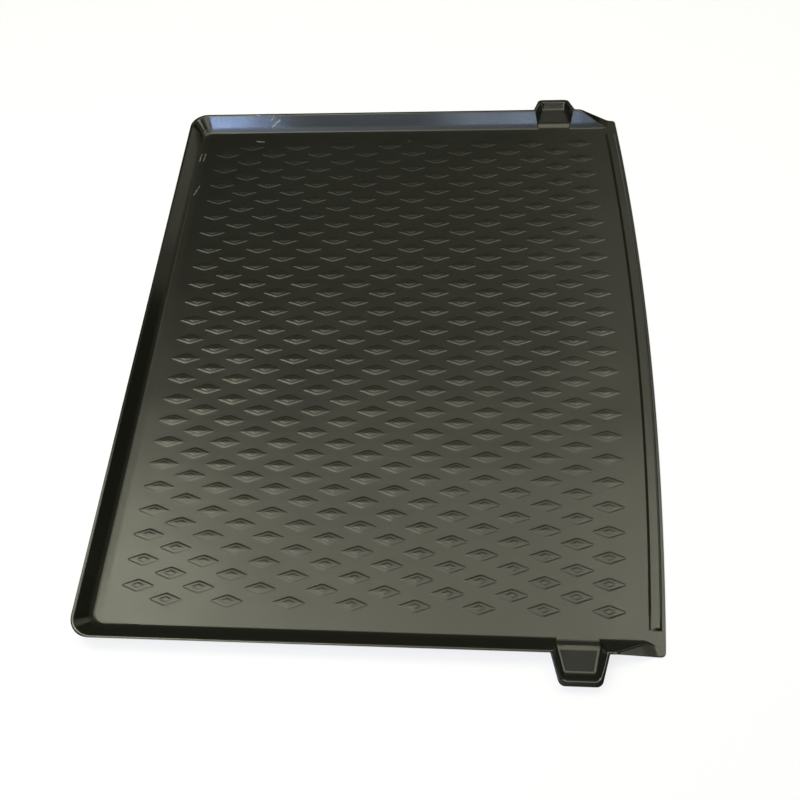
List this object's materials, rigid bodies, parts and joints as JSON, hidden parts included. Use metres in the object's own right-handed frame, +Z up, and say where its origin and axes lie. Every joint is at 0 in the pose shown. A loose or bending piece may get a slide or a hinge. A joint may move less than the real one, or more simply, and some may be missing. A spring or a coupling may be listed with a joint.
{
  "type": "car boot liner",
  "caption": "Moulded plastic boot tray with low leaning walls, side ears, a bowed tailgate edge with a ridge, and a raised diamond tread floor.",
  "frame": {"origin": "middle of the tray's footprint, on the surface that it lies on", "axes": "+X towards the tailgate edge, +Y across the car, +Z up"},
  "size_m": [0.855, 1.148, 0.028],
  "materials": {
    "moulded_plastic": "satin black moulded plastic, slightly warm, lightly scuffed"
  },
  "bodies": {
    "root": {"boot_liner": "moulded_plastic"}
  },
  "joints": []
}
